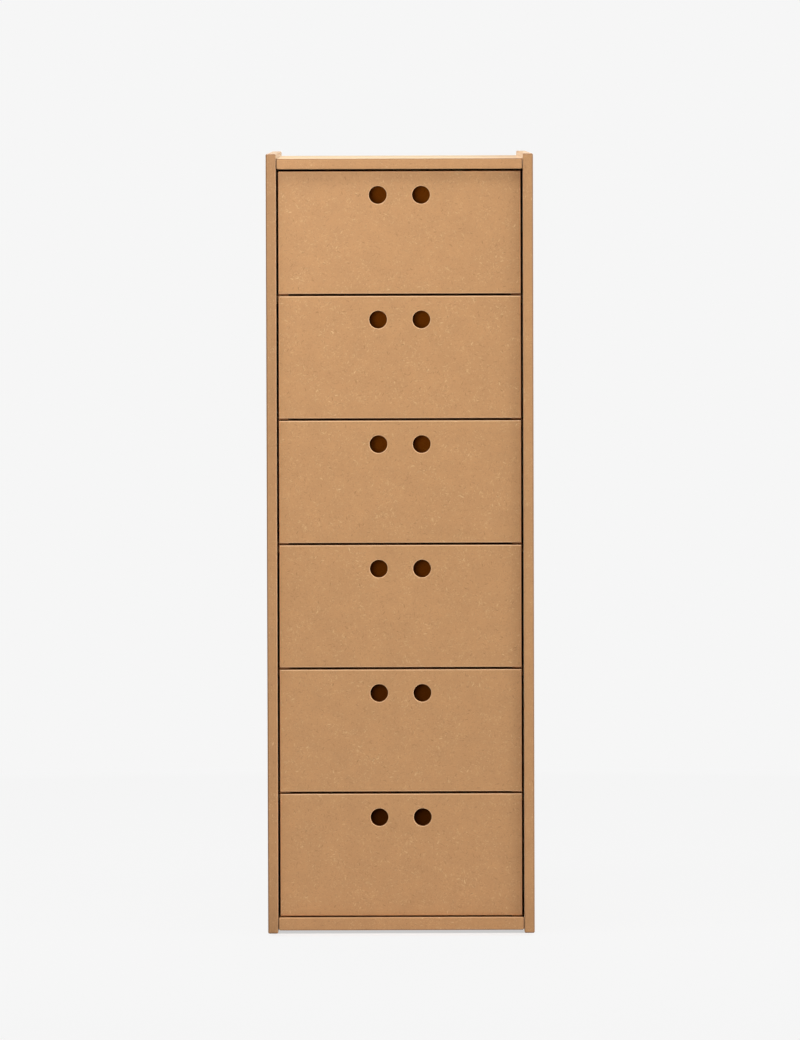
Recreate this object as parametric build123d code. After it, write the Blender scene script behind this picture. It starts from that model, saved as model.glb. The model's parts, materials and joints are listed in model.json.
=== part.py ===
from build123d import *
import os

# A narrow fibreboard drawer unit: a carcass of housed boards that holds a column of plain inset drawers.
# Sizes are in millimetres. X runs across the unit, Y from front to back and Z up.
# The origin is on the table, under the middle of the unit, and left and right are the viewer's.

# Carcass boards
unit_width = 84.0
unit_depth = 170.0
drawer_count = 6
side_board = 3.2
top_board = 3.3
bottom_board = 4.0
shelf_board = 3.0
back_board = 2.5
top_lip = 1.5             # the side panels stand this far above the top panel
foot_height = 1.0         # and reach this far below the bottom panel

# Carcass joints
housing_depth = 1.2       # how far one board is let into the next
panel_stop = 6.0          # the top and bottom housings end this far behind the front edge
shelf_stop = 4.0          # the shelf housings end this far behind the shelf's own edge
shoulder_gap = 0.15       # between a side panel and a cross board's nose, the stretch before its tongues

# Drawer fronts
front_height = 38.5
front_board = 3.2
front_gap = 0.7           # round each front, and between two fronts
front_recess = 1.5        # a closed front lies this far behind the carcass's front edges
slide_clearance = 0.2     # from a box's underside down to the top edge of the front below it
pull_diameter = 5.6
pull_spacing = 13.6
pull_drop = 7.45          # from a front's top edge down to the middle of its holes

# Drawer boxes
box_board = 3.0
bottom_sheet = 2.5
groove_depth = 1.2        # how far the bottom sheet is let into the boards round it
groove_rise = 2.0         # from the underside of the box up to the bottom sheet
rebate_depth = 1.6        # how far a drawer side is let into the back of the front
headroom = 1.4            # from the box's top edge up to the shelf
shelf_clearance = 4.0     # from the back of a front to the shelf's edge, deep enough to hide it
finger_rows = 5           # rows of fingers at each rear corner, the sides' own at both ends

# Sanded edges
panel_ease = 0.45
rail_ease = 0.3
rail_corner = 0.6         # the corners of a cross board's nose, seen from the front
front_ease = 0.35
rim_ease = 0.25
box_ease = 0.3

# Where the pieces meet
inner_half = unit_width / 2 - side_board
housed_half = inner_half + housing_depth
front_half = inner_half - front_gap
box_half = front_half - box_board
front_edge = -unit_depth / 2
back_edge = unit_depth / 2
back_inner = back_edge - back_board
front_face = front_edge + front_recess
front_rear = front_face + front_board
shelf_edge = front_rear + shelf_clearance
box_rear = back_inner - box_board
pitch = front_height + front_gap
bay_floor = foot_height + bottom_board
front_lift = front_gap - slide_clearance
bay_ceiling = bay_floor + drawer_count * pitch + front_lift
unit_height = bay_ceiling + top_board + top_lip
box_height = pitch - shelf_board - headroom
finger_height = box_height / finger_rows


def slab(x_low, x_high, y_low, y_high, z_low, z_high):
    middle = Pos((x_low + x_high) / 2, (y_low + y_high) / 2, (z_low + z_high) / 2)
    return middle * Box(x_high - x_low, y_high - y_low, z_high - z_low)


def bay_base(number):
    # The height that drawer number slides on. Drawer 1 is at the top.
    return bay_floor + (drawer_count - number) * pitch


def housing(z_low, board, start, end):
    # A stopped groove in the right side panel. The cutter leaves its front end round.
    groove = slab(inner_half, housed_half, start, end, z_low, z_low + board)
    middle = Pos((inner_half + housed_half) / 2, start, z_low + board / 2)
    return groove + middle * Rot(0, 90, 0) * Cylinder(board / 2, housing_depth)


def back_panel():
    # The back lies in a rebate that runs round all four boards of the carcass.
    z_low = bay_floor - housing_depth
    z_high = bay_ceiling + housing_depth
    return slab(-housed_half, housed_half, back_inner, back_edge, z_low, z_high)


def right_side_panel():
    panel = slab(inner_half, unit_width / 2, front_edge, back_edge, 0, unit_height)
    panel = fillet(panel.edges(), panel_ease)
    panel -= housing(foot_height, bottom_board, front_edge + panel_stop, back_edge)
    panel -= housing(bay_ceiling, top_board, front_edge + panel_stop, back_edge)
    for number in range(1, drawer_count):
        z_low = bay_base(number) - shelf_board
        panel -= housing(z_low, shelf_board, shelf_edge + shelf_stop, back_inner)
    return panel - back_panel()


def cross_board(z_low, board, y_front, y_back, stop):
    # A board between the side panels. Its tongues start behind the nose, so none shows from the front.
    nose_half = inner_half - shoulder_gap
    nose = slab(-nose_half, nose_half, y_front, y_front + stop, z_low, z_low + board)
    nose = fillet(nose.edges().filter_by(Axis.Y), rail_corner)
    nose = chamfer(nose.faces().sort_by(Axis.Y)[0].edges(), rail_ease)
    return nose + slab(-housed_half, housed_half, y_front + stop, y_back, z_low, z_low + board)


def top_panel():
    return cross_board(bay_ceiling, top_board, front_edge, back_edge, panel_stop) - back_panel()


def bottom_panel():
    return cross_board(foot_height, bottom_board, front_edge, back_edge, panel_stop) - back_panel()


def shelf(number):
    # Shelf number carries the drawer of that number, behind the top edge of the front below it.
    return cross_board(bay_base(number) - shelf_board, shelf_board, shelf_edge, back_inner, shelf_stop)


def right_side_blank(base):
    return slab(box_half, front_half, front_rear - rebate_depth, back_inner, base, base + box_height)


def back_blank(base):
    return slab(-front_half, front_half, box_rear, back_inner, base, base + box_height)


def ease_top(blank):
    # The sanded long edges along the top of a drawer side or a drawer back.
    top = blank.faces().sort_by(Axis.Z)[-1]
    edges = top.edges().sort_by(SortBy.LENGTH)[-2:]
    return fillet(edges, box_ease)


def right_fingers(base, first_row):
    # Every second row of the right rear corner, where the side and the back cross.
    rows = range(first_row, finger_rows, 2)
    levels = [base + row * finger_height for row in rows]
    return [slab(box_half, front_half, box_rear, back_inner, z, z + finger_height) for z in levels]


def drawer_bottom(base):
    reach = box_half + groove_depth
    z_low = base + groove_rise
    return slab(-reach, reach, front_rear - groove_depth, box_rear + groove_depth,
                z_low, z_low + bottom_sheet)


def drawer_front(base):
    z_low = base + front_lift
    z_high = z_low + front_height
    front = slab(-front_half, front_half, front_face, front_rear, z_low, z_high)
    for x in (-pull_spacing / 2, pull_spacing / 2):
        middle = Pos(x, (front_face + front_rear) / 2, z_high - pull_drop)
        front -= middle * Rot(90, 0, 0) * Cylinder(pull_diameter / 2, front_board)
    front = chamfer(front.edges().filter_by(GeomType.CIRCLE), rim_ease)
    face = front.faces().sort_by(Axis.Y)[0]
    front = fillet(face.edges().filter_by(GeomType.LINE), front_ease)
    side = right_side_blank(base)
    return front - side - mirror(side, Plane.YZ) - drawer_bottom(base)


def right_drawer_side(base):
    side = ease_top(right_side_blank(base)) - drawer_bottom(base)
    for finger in right_fingers(base, 1):
        side -= finger
    return side


def drawer_back(base):
    back = ease_top(back_blank(base)) - drawer_bottom(base)
    for finger in right_fingers(base, 0):
        back = back - finger - mirror(finger, Plane.YZ)
    return back


def carcass():
    right = right_side_panel()
    pieces = {
        "left_side_panel": mirror(right, Plane.YZ),
        "right_side_panel": right,
        "top_panel": top_panel(),
        "bottom_panel": bottom_panel(),
        "back_panel": back_panel(),
    }
    for number in range(1, drawer_count):
        pieces[f"shelf_{number}"] = shelf(number)
    return pieces


def drawer(number):
    base = bay_base(number)
    right = right_drawer_side(base)
    return {
        f"drawer_{number}_front": drawer_front(base),
        f"drawer_{number}_left_side": mirror(right, Plane.YZ),
        f"drawer_{number}_right_side": right,
        f"drawer_{number}_back": drawer_back(base),
        f"drawer_{number}_bottom": drawer_bottom(base),
    }


os.makedirs("parts", exist_ok=True)
pieces = carcass()
for number in range(1, drawer_count + 1):
    pieces.update(drawer(number))
for name, piece in pieces.items():
    export_step(piece, f"parts/{name}.step")
print(f"{len(pieces)} pieces, {unit_width} x {unit_depth} x {unit_height:.1f} mm")
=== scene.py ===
import json
import math

import bmesh
import bpy
from mathutils import Matrix, Vector

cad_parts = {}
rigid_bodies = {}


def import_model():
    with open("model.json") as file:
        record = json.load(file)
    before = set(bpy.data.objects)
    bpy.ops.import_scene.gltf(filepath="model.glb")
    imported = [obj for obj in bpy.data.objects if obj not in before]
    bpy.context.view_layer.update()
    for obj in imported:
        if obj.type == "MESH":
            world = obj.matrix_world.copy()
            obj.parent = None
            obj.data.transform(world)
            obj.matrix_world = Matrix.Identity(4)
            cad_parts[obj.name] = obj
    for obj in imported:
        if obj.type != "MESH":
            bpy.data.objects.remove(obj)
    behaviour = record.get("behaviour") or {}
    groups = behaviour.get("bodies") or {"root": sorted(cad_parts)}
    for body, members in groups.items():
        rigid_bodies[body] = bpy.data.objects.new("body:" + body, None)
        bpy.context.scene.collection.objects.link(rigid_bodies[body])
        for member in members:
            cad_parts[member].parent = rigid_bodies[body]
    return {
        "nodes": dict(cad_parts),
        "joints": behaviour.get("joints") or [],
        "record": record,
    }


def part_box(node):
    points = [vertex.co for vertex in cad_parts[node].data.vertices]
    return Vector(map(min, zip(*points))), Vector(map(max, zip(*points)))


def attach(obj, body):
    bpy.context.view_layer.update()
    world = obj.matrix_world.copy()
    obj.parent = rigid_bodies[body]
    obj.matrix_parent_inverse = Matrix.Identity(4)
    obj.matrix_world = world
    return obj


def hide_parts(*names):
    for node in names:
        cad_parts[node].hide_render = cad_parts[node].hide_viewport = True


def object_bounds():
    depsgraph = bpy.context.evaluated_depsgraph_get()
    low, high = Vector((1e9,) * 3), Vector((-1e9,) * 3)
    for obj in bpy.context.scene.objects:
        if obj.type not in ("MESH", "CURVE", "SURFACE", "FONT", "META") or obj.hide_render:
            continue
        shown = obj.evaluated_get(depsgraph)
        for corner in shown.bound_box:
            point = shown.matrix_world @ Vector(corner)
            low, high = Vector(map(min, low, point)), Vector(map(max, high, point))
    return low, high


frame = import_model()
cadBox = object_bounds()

mm = 0.001
drawerCount = len(frame["joints"])


def deselectAll():
    for item in bpy.context.selected_objects:
        item.select_set(False)


def pickOnly(piece):
    deselectAll()
    piece.select_set(True)
    bpy.context.view_layer.objects.active = piece


# Camera
camera = {
    "place": (-2.498 * mm, -3241.85 * mm, 261.767 * mm),
    "pitch": -2.3838,        # degrees, downwards
    "turn": -0.0437,
    "tilt": -0.1659,
    "lens": 347.71,
    "sees": (0.1, 30),       # metres, from the nearest to the farthest
}


def placeCamera(value):
    data = bpy.data.cameras.new("photoCamera")
    data.lens = value["lens"]
    data.clip_start, data.clip_end = value["sees"]
    body = bpy.data.objects.new("photoCamera", data)
    bpy.context.scene.collection.objects.link(body)
    aim = Matrix.Rotation(math.radians(value["turn"]), 3, "Z")
    aim = aim @ Matrix.Rotation(math.radians(90 + value["pitch"]), 3, "X")
    aim = aim @ Matrix.Rotation(math.radians(value["tilt"]), 3, "Z")
    body.matrix_world = Matrix.Translation(value["place"]) @ aim.to_4x4()
    bpy.context.scene.camera = body
    bpy.context.scene.view_settings.view_transform = "Standard"


placeCamera(camera)
print("camera placed")


# Shader trees
def feedNode(tree, node, feeds):
    for key, value in feeds.items():
        if isinstance(value, bpy.types.NodeSocket):
            tree.links.new(value, node.inputs[key])
        else:
            node.inputs[key].default_value = value


def addNode(tree, kind, feeds=None, **settings):
    node = tree.nodes.new("ShaderNode" + kind)
    for name, value in settings.items():
        setattr(node, name, value)
    feedNode(tree, node, feeds or {})
    return node


def newGroup(name, takes, gives):
    group = bpy.data.node_groups.new(name, "ShaderNodeTree")
    for way, sockets in (("INPUT", takes), ("OUTPUT", gives)):
        for socketName, kind in sockets.items():
            group.interface.new_socket(socketName, in_out=way, socket_type="NodeSocket" + kind)
    entry = group.nodes.new("NodeGroupInput")
    leave = group.nodes.new("NodeGroupOutput")
    return group, entry.outputs, leave.inputs


def useGroup(tree, group, feeds):
    node = tree.nodes.new("ShaderNodeGroup")
    node.node_tree = group
    feedNode(tree, node, feeds)
    return node.outputs


def doMath(tree, operation, first, second=0.0, third=0.0):
    return addNode(tree, "Math", {0: first, 1: second, 2: third}, operation=operation).outputs[0]


def doVector(tree, operation, first, second):
    return addNode(tree, "VectorMath", {0: first, 1: second}, operation=operation).outputs


def scaleColour(tree, colour, tone):
    return addNode(tree, "VectorMath", {0: colour, 3: tone}, operation="SCALE").outputs[0]


def addMix(tree, share, first, second):
    return addNode(tree, "Mix", {0: share, 6: first, 7: second}, data_type="RGBA").outputs[2]


def addFade(tree, place, starts, ends, low=0.0, high=1.0, smooth=False):
    # runs from low to high while place runs from starts to ends
    feeds = {"Value": place, "From Min": starts, "From Max": ends, "To Min": low, "To Max": high}
    kind = "SMOOTHSTEP" if smooth else "LINEAR"
    return addNode(tree, "MapRange", feeds, interpolation_type=kind).outputs[0]


def splitAxes(tree, vector):
    return addNode(tree, "SeparateXYZ", {"Vector": vector}).outputs


# Fibreboard
fibreboard = {
    "colour": (0.597, 0.315, 0.134),
    "shade": 1,
    "upperPaintedShade": 1,          # painted shade: the board's colour at its top end, beside 1 lower down
    "upperFrom": 130 * mm,   # the height at which it starts to change
    "footPaintedShade": 1,           # painted shade where it stands on the table
    "footTo": 24 * mm,       # and the height at which that tone is gone
    "grain": {"scale": 2600, "depth": 0.17},      # scales are per metre
    "mottle": {"scale": 170, "depth": 0.18},
    "drift": {"scale": 22, "depth": 0.09},
    "noiseDetail": 2.0,
    "noiseRoughness": 0.6,
    "paleFibre": (0.86, 0.62, 0.34, 1),
    "darkFibre": (0.34, 0.15, 0.05, 1),
    "fibreAngles": (11, 58, 103, 151),            # degrees, the ways that the fibres lie
    "fibreRim": (0.5, 0.2),  # how far from its middle a fibre starts to show, and shows wholly
    "fine": {"length": 0.9 * mm, "width": 0.3 * mm, "share": 0.18, "pale": 0.45, "dark": 0.37},
    "coarse": {"length": 1.6 * mm, "width": 0.42 * mm, "share": 0.03, "pale": 0.66, "dark": 0.5},
    "clusters": 120,         # scale of the patches where the pale fibres show most
    "clusterEdge": (-0.08, 0.12),     # the noise at such a patch's rim
    "clusterLeast": 0.3,     # how strongly they show between the patches
    "cutEdgeAndGapShade": (0.42, 0.12, 0.028, 1),
    "cut": 0.05,             # how far a cut edge turns to that colour, and how much rougher it is; on the fronts this is mostly painted shade in the gaps and pull holes
    "cutSlope": (0.5, 0.85),          # 0 on a face and 1 on a cut edge: where the cut edge's colour starts
    # the sanded arrises' paler colour: wear, and a painted highlight where the rounding catches the light
    "wornAndLitEdge": (0.86, 0.56, 0.30, 1),
    "wear": 0.3,             # how far a sanded arris turns to that colour: partly wear, partly a painted highlight
    "arrisSlope": (0.01, 0.12),       # where on the same slope that colour starts
    # painted shade on the unit's outer arrises, where they turn away from the light
    "outlineShadeColour": (0.25, 0.11, 0.04, 1),
    "handled": 0,            # painted shade: how far the unit's outer arrises turn to that dark colour
    "outlineShadeTurn": (0.003, 0.08),     # 0 on a front edge: where that colour starts, and where it is full
    "outlineShadeEnd": 0.1,       # how far before the side it starts to fade out
    "roughness": 0.5,
    "roughMottle": 0.1,      # how much of the mottle shows in the roughness
    "specular": 0.5,
    "refraction": 1.45,
    "sheen": 0.3,
    "sheenTint": (0.8, 1, 0.68, 1),
    "sheenRoughness": 0.4,
    "bump": 0.25,
    "relief": 0.03 * mm,     # how deep the grain would be at a bump of 1
}
sidePanelShadeAndSheen = {"wear": 0, "handled": 0.8, "sheen": 0.42, "sheenTint": (0.97, 0.91, 0.7, 1)}
boardDifferences = {         # the boards' own tones and sheen, and painted shade and painted highlights that differ from board to board
    # the fronts: painted shade on their cut edges in the gaps and pull holes, and a painted highlight on
    # their arrises
    "front": {"wear": 0.85, "cut": 0.4, "sheen": 0.05},
    "left_side_panel": {**sidePanelShadeAndSheen, "shade": 0.915, "upperPaintedShade": 0.86, "footPaintedShade": 0.8},
    "right_side_panel": {**sidePanelShadeAndSheen, "shade": 0.975, "upperPaintedShade": 0.92, "upperFrom": 200 * mm,
                         "footPaintedShade": 0.88},
    "top_panel": {"handled": 0.9, "sheen": 0.34},
    "bottom_panel": {"shade": 0.97, "handled": 0.8, "sheen": 0.1},
}


def addNoise(tree, place, scale, value):
    # noise that swings evenly either side of zero
    noise = addNode(tree, "TexNoise", {
        "Vector": place, "Scale": scale,
        "Detail": value["noiseDetail"], "Roughness": value["noiseRoughness"]})
    return doMath(tree, "SUBTRACT", noise.outputs[0], 0.5)


def keepSome(tree, chance, share):
    # 0 for most cells, and up to 1 for the share of them that has a loose fibre
    return addFade(tree, chance, doMath(tree, "SUBTRACT", 1.0, share), 1.0)


def makeFibreGroup(value):
    # Short fibres that lie in the board at a few angles: pale ones and dark ones.
    group, takes, gives = newGroup(
        "looseFibres", {"Place": "Vector", "Length": "Float", "Width": "Float", "Share": "Float"},
        {"Pale": "Float", "Dark": "Float"})
    short = doMath(group, "DIVIDE", 1.0, takes["Width"])
    stretch = addNode(group, "CombineXYZ", {
        "X": doMath(group, "DIVIDE", 1.0, takes["Length"]), "Y": short, "Z": short}).outputs[0]
    pale = dark = 0.0
    for angle in value["fibreAngles"]:
        turned = addNode(group, "VectorRotate", {
            "Vector": takes["Place"], "Axis": (0, 0, 1), "Angle": math.radians(angle)}).outputs[0]
        stretched = doVector(group, "MULTIPLY", turned, stretch)["Vector"]
        cells = addNode(group, "TexVoronoi", {"Vector": stretched, "Scale": 1.0, "Randomness": 1.0},
                        voronoi_dimensions="3D", feature="F1").outputs
        spot = addFade(group, cells["Distance"], *value["fibreRim"], smooth=True)
        chance = addNode(group, "SeparateColor", {"Color": cells["Color"]}).outputs
        paleSpot = doMath(group, "MULTIPLY", spot, keepSome(group, chance[0], takes["Share"]))
        darkSpot = doMath(group, "MULTIPLY", spot, keepSome(group, chance[1], takes["Share"]))
        pale = doMath(group, "MAXIMUM", pale, paleSpot)
        dark = doMath(group, "MAXIMUM", dark, darkSpot)
    group.links.new(pale, gives["Pale"])
    group.links.new(dark, gives["Dark"])
    return group


def makeEdgeGroup(value):
    # Where a board shows its cut edge, and where its sanded arrises turn from the face to it.
    group, takes, gives = newGroup(
        "cutAndArris", {"Normal": "Vector"}, {"Cut": "Float", "Arris": "Float"})
    across = splitAxes(group, takes["Normal"])["Z"]
    slope = doMath(group, "MULTIPLY_ADD", across, doMath(group, "MULTIPLY", across, -1.0), 1.0)
    cut = addFade(group, slope, *value["cutSlope"], smooth=True)
    begun = addFade(group, slope, *value["arrisSlope"], smooth=True)
    group.links.new(cut, gives["Cut"])
    group.links.new(doMath(group, "MULTIPLY", begun, doMath(group, "SUBTRACT", 1.0, cut)), gives["Arris"])
    return group


def makeHandledGroup(value):
    # The arrises round the unit's outline, darkened with painted shade where they turn away from the
    # light. The inner ones face the other way.
    group, takes, gives = newGroup(
        "handledArris", {"Place": "Vector", "Normal": "Vector"}, {"Handled": "Float"})
    middle = (0, 0, cadBox[1][2] / 2)
    fromMiddle = doVector(group, "SUBTRACT", takes["Place"], middle)["Vector"]
    sideways = doVector(group, "MULTIPLY", fromMiddle, (1, 0, 1))["Vector"]
    facing = doVector(group, "DOT_PRODUCT", sideways, takes["Normal"])["Value"]
    outer = doMath(group, "GREATER_THAN", facing, 0.0)
    forward = splitAxes(group, takes["Normal"])["Y"]
    flat = doMath(group, "MULTIPLY", forward, forward)
    starts, full = value["outlineShadeTurn"]
    turned = addFade(group, flat, 1 - starts, 1 - full, smooth=True)
    beforeSide = addFade(group, flat, 0, value["outlineShadeEnd"])
    both = doMath(group, "MULTIPLY", turned, beforeSide)
    group.links.new(doMath(group, "MULTIPLY", both, outer), gives["Handled"])
    return group


fibreGroup = makeFibreGroup(fibreboard)
edgeGroup = makeEdgeGroup(fibreboard)
outlineShadeGroup = makeHandledGroup(fibreboard)


def layFibres(tree, place, colour, value):
    # lays the fine and the coarse fibres over a board's colour
    patches = addNoise(tree, place, value["clusters"], value)
    thick = addFade(tree, patches, *value["clusterEdge"], value["clusterLeast"], 1.0)
    for size in ("fine", "coarse"):
        kind = value[size]
        fibres = useGroup(tree, fibreGroup, {
            "Place": place, "Length": kind["length"], "Width": kind["width"], "Share": kind["share"]})
        pale = doMath(tree, "MULTIPLY", fibres["Pale"], thick)
        pale = doMath(tree, "MULTIPLY", pale, kind["pale"])
        dark = doMath(tree, "MULTIPLY", fibres["Dark"], kind["dark"])
        colour = addMix(tree, pale, colour, value["paleFibre"])
        colour = addMix(tree, dark, colour, value["darkFibre"])
    return colour


def makeBoardGroup(value):
    # The whole finish of a board whose thickness runs along Z.
    group, takes, gives = newGroup(
        "boardFace", {"Place": "Vector", "Normal": "Vector", "Board": "Color", "Wear": "Float",
                      "Cut": "Float", "Handled": "Float"},
        {"Colour": "Color", "Roughness": "Float", "Height": "Float"})
    place = takes["Place"]
    tone = 1.0
    swings = {}
    for name in ("grain", "mottle", "drift"):
        swings[name] = addNoise(group, place, value[name]["scale"], value)
        tone = doMath(group, "MULTIPLY_ADD", swings[name], value[name]["depth"], tone)
    colour = scaleColour(group, takes["Board"], tone)
    colour = layFibres(group, place, colour, value)
    edges = useGroup(group, edgeGroup, {"Normal": takes["Normal"]})
    cut = doMath(group, "MULTIPLY", edges["Cut"], takes["Cut"])
    wornAndLit = doMath(group, "MULTIPLY", edges["Arris"], takes["Wear"])
    # the cut edges' darker colour; on the fronts, painted shade in the gaps and pull holes
    colour = addMix(group, cut, colour, value["cutEdgeAndGapShade"])
    # wear and a painted highlight on the sanded arrises
    colour = addMix(group, wornAndLit, colour, value["wornAndLitEdge"])
    # painted shade on the arrises round the unit's outline
    colour = addMix(group, takes["Handled"], colour, value["outlineShadeColour"])
    rough = doMath(group, "MULTIPLY_ADD", swings["mottle"], value["roughMottle"], value["roughness"])
    group.links.new(colour, gives["Colour"])
    group.links.new(doMath(group, "ADD", rough, cut), gives["Roughness"])
    group.links.new(doMath(group, "ADD", swings["grain"], swings["mottle"]), gives["Height"])
    return group


boardGroup = makeBoardGroup(fibreboard)
boardTurns = {"X": (0, math.pi / 2, 0), "Y": (math.pi / 2, 0, 0), "Z": (0, 0, 0)}


def addBoardColour(tree, place, value):
    # the plain board's colour, darkened with painted shade towards its top end and its foot
    height = splitAxes(tree, place)["Z"]
    upper = addFade(tree, height, value["upperFrom"], cadBox[1][2], 1, value["upperPaintedShade"])
    foot = addFade(tree, height, 0, value["footTo"], value["footPaintedShade"], 1)
    colour = [value["shade"] * tint for tint in value["colour"]]
    return scaleColour(tree, colour, doMath(tree, "MULTIPLY", upper, foot))


def makeBoardMaterial(name, thin, value):
    material = bpy.data.materials.new(name)
    material.use_nodes = True
    tree = material.node_tree
    tree.nodes.clear()
    around = addNode(tree, "TexCoord").outputs
    turned = {}
    for kind in ("Object", "Normal"):
        turned[kind] = addNode(tree, "Mapping", {"Vector": around[kind], "Rotation": boardTurns[thin]},
                               vector_type="POINT").outputs[0]
    board = addBoardColour(tree, around["Object"], value)
    # where the painted shade on the outline's arrises falls
    handled = useGroup(tree, outlineShadeGroup, {"Place": around["Object"], "Normal": around["Normal"]})[0]
    face = useGroup(tree, boardGroup, {
        "Place": turned["Object"], "Normal": turned["Normal"], "Board": board, "Wear": value["wear"],
        "Cut": value["cut"], "Handled": doMath(tree, "MULTIPLY", handled, value["handled"])})
    bump = addNode(tree, "Bump", {
        "Height": face["Height"], "Strength": value["bump"], "Distance": value["relief"]}).outputs[0]
    shader = addNode(tree, "BsdfPrincipled", {
        "Base Color": face["Colour"], "Roughness": face["Roughness"], "Normal": bump,
        "IOR": value["refraction"], "Specular IOR Level": value["specular"],
        "Sheen Weight": value["sheen"], "Sheen Roughness": value["sheenRoughness"],
        "Sheen Tint": value["sheenTint"]})
    addNode(tree, "OutputMaterial", {"Surface": shader.outputs[0]})
    return material


def thinAxis(name):
    low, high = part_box(name)
    sizes = high - low
    return "XYZ"[min(range(3), key=lambda axis: sizes[axis])]


boardMaterials = {}


def finishBoard(piece, node):
    thin = thinAxis(node)
    name, value = "fibreboard" + thin, dict(fibreboard)
    for ending, difference in boardDifferences.items():
        if node.endswith(ending):
            name += "_" + ending
            value.update(difference)
    if name not in boardMaterials:
        boardMaterials[name] = makeBoardMaterial(name, thin, value)
    piece.data.materials.clear()
    piece.data.materials.append(boardMaterials[name])


for node, solid in frame["nodes"].items():
    finishBoard(solid, node)
print("boards finished")

# Shaping
beyond = 1 * mm              # how far a cutter reaches past the wood, and a nose into its own board
hair = 0.01 * mm             # near enough to count as on a face
straight = 0.9               # the share of an edge's length that has to run along an axis
sandSteps = 2
sharpAngle = math.radians(40)


def editPiece(piece):
    pickOnly(piece)
    bpy.ops.object.mode_set(mode="EDIT")
    bpy.ops.mesh.select_all(action="DESELECT")


def leaveEdit():
    bpy.ops.object.mode_set(mode="OBJECT")


def addBlock(name, low, high):
    deselectAll()
    middle = [(a + b) / 2 for a, b in zip(low, high)]
    sizes = [b - a for a, b in zip(low, high)]
    bpy.ops.mesh.primitive_cube_add(size=1, location=middle, scale=sizes)
    block = bpy.context.object
    block.name = block.data.name = name
    bpy.ops.object.transform_apply(location=True, rotation=True, scale=True)
    return block


def roundEdges(piece, radius, steps, wanted):
    # wanted says of an edge's two ends whether that edge is rounded
    editPiece(piece)
    bpy.ops.mesh.select_mode(type="EDGE")
    mesh = bmesh.from_edit_mesh(piece.data)
    for edge in mesh.edges:
        edge.select = wanted(edge.verts[0].co, edge.verts[1].co)
    mesh.select_flush_mode()
    bmesh.update_edit_mesh(piece.data)
    bpy.ops.mesh.bevel(offset=radius, offset_type="OFFSET", segments=steps, profile=0.5, affect="EDGES")
    leaveEdit()


def along(axis):
    # true of an edge that runs along that axis
    return lambda a, b: abs((b - a)[axis]) > straight * (b - a).length


def combine(piece, other, operation):
    pickOnly(piece)
    joint = piece.modifiers.new("joint", "BOOLEAN")
    joint.operation, joint.solver, joint.object = operation, "EXACT", other
    bpy.ops.object.modifier_apply(modifier=joint.name)
    bpy.data.objects.remove(other)


def cutAway(piece, cutter):
    combine(piece, cutter, "DIFFERENCE")


def cutBlock(piece, low, high):
    cutAway(piece, addBlock("cutter", low, high))


def joinOn(piece, block):
    combine(piece, block, "UNION")


def copyPiece(piece, name, shift):
    pickOnly(piece)
    bpy.ops.object.duplicate_move(TRANSFORM_OT_translate={"value": shift})
    twin = bpy.context.object
    twin.name = twin.data.name = name
    bpy.ops.object.transform_apply(location=True, rotation=False, scale=False)
    return twin


def softenPiece(piece, width):
    # sands off what is still sharp, and keeps the flat faces flat in the shading
    pickOnly(piece)
    sand = piece.modifiers.new("sand", "BEVEL")
    sand.width, sand.segments = width, sandSteps
    sand.limit_method, sand.angle_limit = "ANGLE", sharpAngle
    bpy.ops.object.modifier_apply(modifier=sand.name)
    bpy.ops.object.shade_smooth_by_angle(angle=sharpAngle)
    even = piece.modifiers.new("even", "WEIGHTED_NORMAL")
    even.keep_sharp = True
    bpy.ops.object.modifier_apply(modifier=even.name)


def placePiece(piece, node):
    owner = "drawer" if node.startswith("drawer") else "carcass"
    finishBoard(piece, node)
    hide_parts(node)
    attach(piece, owner if owner == "carcass" else "_".join(node.split("_")[:2]))


# Carcass
housing = {
    "depth": 1.2 * mm,
    "panelStop": 6 * mm,     # how far behind a panel's front edge its housing and its tongues start
    "shelfStop": 4 * mm,     # and behind a shelf's
    "endSteps": 12,          # round the half circle that the router leaves
    "endRadius": 0.4999,     # of the board's thickness, just short of where its two corners would meet
}
sidePanel = {
    "arris": 0.45 * mm,
    "arrisSteps": 5,
    "sand": 0.08 * mm,
}


def housingCutter(low, high, inner, outward, stop, value):
    # The router leaves the front end of its groove half round.
    thickness = high.z - low.z
    start = low.y + stop - thickness / 2
    ends = sorted((inner - outward * beyond, inner + outward * value["depth"]))
    cutter = addBlock("cutter", (ends[0], start, low.z), (ends[1], high.y, high.z))
    radius = thickness * value["endRadius"]
    acrossX = along(0)
    roundEdges(cutter, radius, value["endSteps"], lambda a, b: acrossX(a, b) and a.y < start + radius)
    return cutter


def makeSidePanel(side, outward, value):
    node = side + "_side_panel"
    low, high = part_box(node)
    inner = low.x if outward > 0 else high.x
    panel = addBlock(side + "SidePanel", low, high)
    roundEdges(panel, value["arris"], value["arrisSteps"], lambda a, b: True)
    boards = [("top_panel", housing["panelStop"]), ("bottom_panel", housing["panelStop"])]
    boards += [(f"shelf_{number}", housing["shelfStop"]) for number in range(1, drawerCount)]
    for board, stop in boards:
        boardLow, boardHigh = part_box(board)
        cutAway(panel, housingCutter(boardLow, boardHigh, inner, outward, stop, housing))
    backLow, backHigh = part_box("back_panel")
    cutBlock(panel, backLow, (backHigh.x, backHigh.y + beyond, backHigh.z))
    softenPiece(panel, value["sand"])
    placePiece(panel, node)


makeSidePanel("left", -1, sidePanel)
makeSidePanel("right", 1, sidePanel)
print("side panels made")

crossBoard = {
    "corner": 0.6 * mm,      # the nose's corners, seen from the front
    "arris": 0.3 * mm,
    "arrisSteps": 5,
    "shoulder": 0.15 * mm,   # between the nose and each side panel
    "sand": 0.08 * mm,
}


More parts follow.
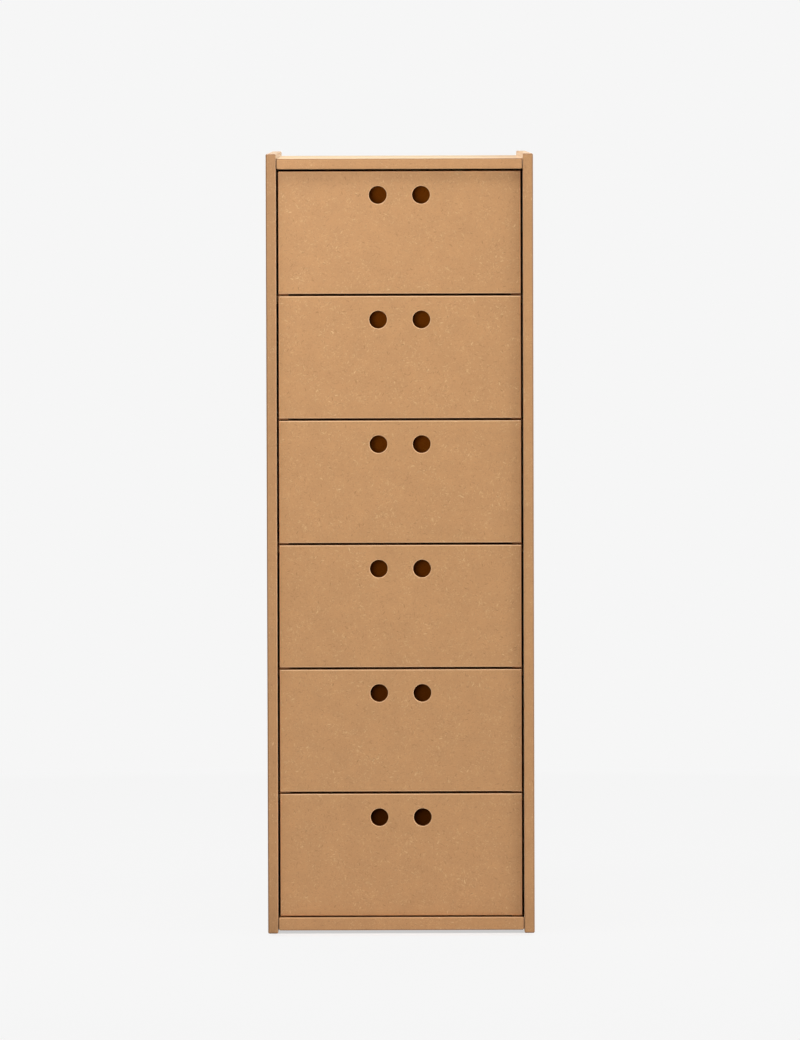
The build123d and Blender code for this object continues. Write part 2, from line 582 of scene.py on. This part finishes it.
def makeCrossBoard(node, name, stop, value):
    low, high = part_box(node)
    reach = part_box("right_side_panel")[0].x - value["shoulder"]
    board = addBlock(name, (-reach, low.y, low.z), (reach, low.y + stop + beyond, high.z))
    roundEdges(board, value["corner"], value["arrisSteps"], along(1))
    roundEdges(board, value["arris"], value["arrisSteps"], lambda a, b: max(a.y, b.y) < low.y + hair)
    joinOn(board, addBlock("tongued", (low.x, low.y + stop, low.z), high))
    if node.endswith("panel"):
        backLow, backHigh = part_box("back_panel")
        cutBlock(board, (low.x - beyond, backLow.y, backLow.z),
                 (high.x + beyond, backHigh.y + beyond, backHigh.z))
    softenPiece(board, value["sand"])
    placePiece(board, node)


makeCrossBoard("top_panel", "topPanel", housing["panelStop"], crossBoard)
makeCrossBoard("bottom_panel", "bottomPanel", housing["panelStop"], crossBoard)
for number in range(1, drawerCount):
    makeCrossBoard(f"shelf_{number}", f"shelf{number}", housing["shelfStop"], crossBoard)

backPanel = {
    "arris": 0.25 * mm,
    "arrisSteps": 3,
    "sand": 0.125 * mm,
}


def makeBackPanel(value):
    low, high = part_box("back_panel")
    panel = addBlock("backPanel", low, high)
    roundEdges(panel, value["arris"], value["arrisSteps"], lambda a, b: min(a.y, b.y) > high.y - hair)
    softenPiece(panel, value["sand"])
    placePiece(panel, "back_panel")


makeBackPanel(backPanel)
print("carcass boards made")

# Drawers
drawerFront = {
    "arris": 0.35 * mm,
    "arrisSteps": 5,
    "rim": 0.25 * mm,        # how far a pull hole's rim is rounded
    "rimSteps": 6,
    "holeSides": 96,
    "sand": 0.06 * mm,
}


def pullHoleCutter(x, z, radius, front, rear, value):
    # A turned plug that flares at both ends, so what it leaves is a hole with rounded rims.
    rim, steps = value["rim"], value["rimSteps"]
    arc = [math.radians(90 * step / steps) for step in range(steps + 1)]
    rings = [(front + rim - rim * math.cos(turn), radius + rim - rim * math.sin(turn)) for turn in arc]
    rings += [(rear + front - place, width) for place, width in reversed(rings)]
    rings = [(front - beyond, radius + rim)] + rings + [(rear + beyond, radius + rim)]
    deselectAll()
    place, width = rings[0]
    bpy.ops.mesh.primitive_circle_add(vertices=value["holeSides"], radius=width, fill_type="NGON",
                                      location=(x, place, z), rotation=(math.pi / 2, 0, 0))
    cutter = bpy.context.object
    bpy.ops.object.mode_set(mode="EDIT")
    bpy.ops.mesh.select_all(action="SELECT")
    for nextPlace, nextWidth in rings[1:]:
        bpy.ops.mesh.extrude_region_move(TRANSFORM_OT_translate={"value": (0, nextPlace - place, 0)})
        grow = nextWidth / width
        bpy.ops.transform.resize(value=(grow, 1, grow), center_override=(x, nextPlace, z))
        place, width = nextPlace, nextWidth
    bpy.ops.mesh.select_all(action="SELECT")
    bpy.ops.mesh.normals_make_consistent(inside=False)
    leaveEdit()
    bpy.ops.object.transform_apply(location=True, rotation=True, scale=True)
    return cutter


def makeFront(value):
    low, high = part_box("drawer_1_front")
    front = addBlock("drawer1Front", low, high)
    roundEdges(front, value["arris"], value["arrisSteps"], lambda a, b: max(a.y, b.y) < low.y + hair)
    for mount in frame["record"]["mounts"]:
        if mount["name"].startswith("drawer_1_") and mount["kind"] == "bore":
            x, _, z = mount["pos_m"]
            radius = mount["dims"]["r_mm"] * mm
            cutAway(front, pullHoleCutter(x, z, radius, low.y, high.y, value))
    for side, past in (("left", -beyond), ("right", beyond)):
        sideLow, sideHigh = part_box(f"drawer_1_{side}_side")
        cutBlock(front, (min(sideLow.x, sideLow.x + past), sideLow.y, sideLow.z),
                 (max(sideHigh.x, sideHigh.x + past), sideHigh.y, sideHigh.z))
    cutBlock(front, *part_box("drawer_1_bottom"))
    softenPiece(front, value["sand"])
    return front


drawerBox = {
    "topArris": 0.3 * mm,
    "arrisSteps": 4,
    "fingerRows": 5,
    "sand": 0.06 * mm,
}


def cutFingers(piece, rows, value):
    # Clears the other board's fingers out of this one, at both rear corners.
    sideLow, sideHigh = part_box("drawer_1_right_side")
    backLow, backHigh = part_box("drawer_1_back")
    rise = (sideHigh.z - sideLow.z) / value["fingerRows"]
    for row in rows:
        base = sideLow.z + row * rise
        top = base + rise
        if row == 0:
            base -= beyond
        if row == value["fingerRows"] - 1:
            top += beyond
        for inner, outer in ((sideLow.x, sideHigh.x + beyond), (-sideHigh.x - beyond, -sideLow.x)):
            cutBlock(piece, (inner, backLow.y, base), (outer, backHigh.y + beyond, top))


def makeDrawerBoard(node, name, rows, value):
    low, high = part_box(node)
    board = addBlock(name, low, high)
    runsAlong = along(0 if high.x - low.x > high.y - low.y else 1)
    roundEdges(board, value["topArris"], value["arrisSteps"],
               lambda a, b: runsAlong(a, b) and min(a.z, b.z) > high.z - hair)
    cutBlock(board, *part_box("drawer_1_bottom"))
    cutFingers(board, rows, value)
    softenPiece(board, value["sand"])
    return board


sideRows = range(0, drawerBox["fingerRows"], 2)       # the rows of fingers that the sides have
backRows = range(1, drawerBox["fingerRows"], 2)       # and the back's own
firstDrawer = {
    "front": makeFront(drawerFront),
    "left_side": makeDrawerBoard("drawer_1_left_side", "drawer1LeftSide", backRows, drawerBox),
    "right_side": makeDrawerBoard("drawer_1_right_side", "drawer1RightSide", backRows, drawerBox),
    "back": makeDrawerBoard("drawer_1_back", "drawer1Back", sideRows, drawerBox),
}
for number in range(1, drawerCount + 1):
    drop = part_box(f"drawer_{number}_front")[0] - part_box("drawer_1_front")[0]
    for part, piece in firstDrawer.items():
        if number > 1:
            piece = copyPiece(piece, piece.name.replace("1", str(number)), drop)
        placePiece(piece, f"drawer_{number}_{part}")
print("drawers made")

# Light
lamps = {                    # metres, watts and degrees
    "highLeft": {"place": (-0.5, -0.3, 0.9), "size": 0.3, "power": 2.65},
    "overhead": {"place": (0, -0.2, 0.8), "size": 0.3, "power": 2.65},
    "rightFill": {"place": (1.203, -0.438, 0.349), "size": 0.6, "power": 10},
    "nearLeft": {"place": (-0.1, -0.3, 0.3), "size": 0.15, "power": 0.23},
    "back": {"place": (0, 0.62, 1.1), "size": 0.6, "power": 6},
    "throughHoles": {"place": (-0.022, -3, 0.258), "aim": (0, 0, 0.363), "cone": 16, "size": 0.05,
                     "power": 53, "colour": (1, 0.38, 0.033), "lights": "drawer{}Back"},
}
lampAim = (0, 0, 0.123)


def makeLamp(name, value):
    if "cone" in value:
        # a spot whose light fades from the middle of its cone to the rim
        data = bpy.data.lights.new(name, "SPOT")
        data.spot_size, data.spot_blend = math.radians(value["cone"]), 1
        data.shadow_soft_size = value["size"] / 2
    else:
        data = bpy.data.lights.new(name, "AREA")
        data.shape, data.size = "DISK", value["size"]
    data.energy = value["power"]
    data.color = value.get("colour", (1, 1, 1))
    lamp = bpy.data.objects.new(name, data)
    bpy.context.scene.collection.objects.link(lamp)
    away = Vector(value["place"]) - Vector(value.get("aim", lampAim))
    turn = away.to_track_quat("Z", "Y").to_matrix().to_4x4()
    lamp.matrix_world = Matrix.Translation(value["place"]) @ turn
    if "lights" in value:
        # this lamp falls on the drawer backs alone, which show through the pull holes
        lit = bpy.data.collections.new(name)
        for number in range(1, drawerCount + 1):
            lit.objects.link(bpy.data.objects[value["lights"].format(number)])
        lamp.light_linking.receiver_collection = lit


for name, value in lamps.items():
    makeLamp(name, value)

# Floor and backdrop
studio = {
    "white": (0.922, 0.922, 0.922, 1),
    "ambient": 0.0,
    "floorSize": 8,          # metres
    "floorColour": (0.85, 0.85, 0.85, 1),
    "underShare": 0.62,      # how much of the floor under the object is plain backdrop
    "nearShare": 0.97,       # and of the floor round it
    "contact": (8 * mm, 13 * mm),    # how far in front of the object one gives way to the other
    "beside": 4,             # and so many times nearer beside the gap between its feet
    "lit": (0.25, 0.7),      # metres from the middle, between which the floor's own light fades out
}


def seesBackdrop(tree):
    # 1 for the rays that should meet the plain backdrop and not its light
    path = addNode(tree, "LightPath").outputs
    sees = doMath(tree, "MAXIMUM", path["Is Camera Ray"], path["Is Glossy Ray"])
    return doMath(tree, "MAXIMUM", sees, path["Is Transmission Ray"])


def makeWorld(value):
    world = bpy.data.worlds.new("studio")
    bpy.context.scene.world = world
    world.use_nodes = True
    tree = world.node_tree
    tree.nodes.clear()
    plain = addNode(tree, "Background", {"Color": (1, 1, 1, 1), "Strength": value["ambient"]})
    seen = addNode(tree, "Background", {"Color": value["white"], "Strength": 1.0})
    mixed = addNode(tree, "MixShader", {0: seesBackdrop(tree), 1: plain.outputs[0], 2: seen.outputs[0]})
    addNode(tree, "OutputWorld", {"Surface": mixed.outputs[0]})


def addPlainShare(tree, value):
    # how much of the floor is plain backdrop: least under the object, and all of it further off
    place = addNode(tree, "TexCoord").outputs["Object"]
    axes = splitAxes(tree, place)
    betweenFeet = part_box("right_side_panel")[0].x
    beside = doMath(tree, "SUBTRACT", doMath(tree, "ABSOLUTE", axes["X"]), betweenFeet)
    before = doMath(tree, "SUBTRACT", doMath(tree, "ABSOLUTE", axes["Y"]), cadBox[1][1])
    outside = doMath(tree, "MAXIMUM", doMath(tree, "MULTIPLY", beside, value["beside"]), before)
    near = addFade(tree, outside, *value["contact"], value["underShare"], value["nearShare"])
    reach = addNode(tree, "VectorMath", {0: place}, operation="LENGTH").outputs["Value"]
    far = addFade(tree, reach, *value["lit"], smooth=True)
    return doMath(tree, "MAXIMUM", near, far)


def makeFloor(value):
    # The floor keeps a faint shadow near the object.
    deselectAll()
    bpy.ops.mesh.primitive_plane_add(size=value["floorSize"], location=(0, 0, 0))
    floor = bpy.context.object
    floor.name = "floor"
    material = bpy.data.materials.new("paleFloor")
    material.use_nodes = True
    tree = material.node_tree
    tree.nodes.clear()
    share = doMath(tree, "MULTIPLY", addPlainShare(tree, value), seesBackdrop(tree))
    lit = addNode(tree, "BsdfDiffuse", {"Color": value["floorColour"]})
    seen = addNode(tree, "Emission", {"Color": value["white"], "Strength": 1.0})
    mixed = addNode(tree, "MixShader", {0: share, 1: lit.outputs[0], 2: seen.outputs[0]})
    addNode(tree, "OutputMaterial", {"Surface": mixed.outputs[0]})
    floor.data.materials.append(material)


makeWorld(studio)
makeFloor(studio)
print("light and floor set")
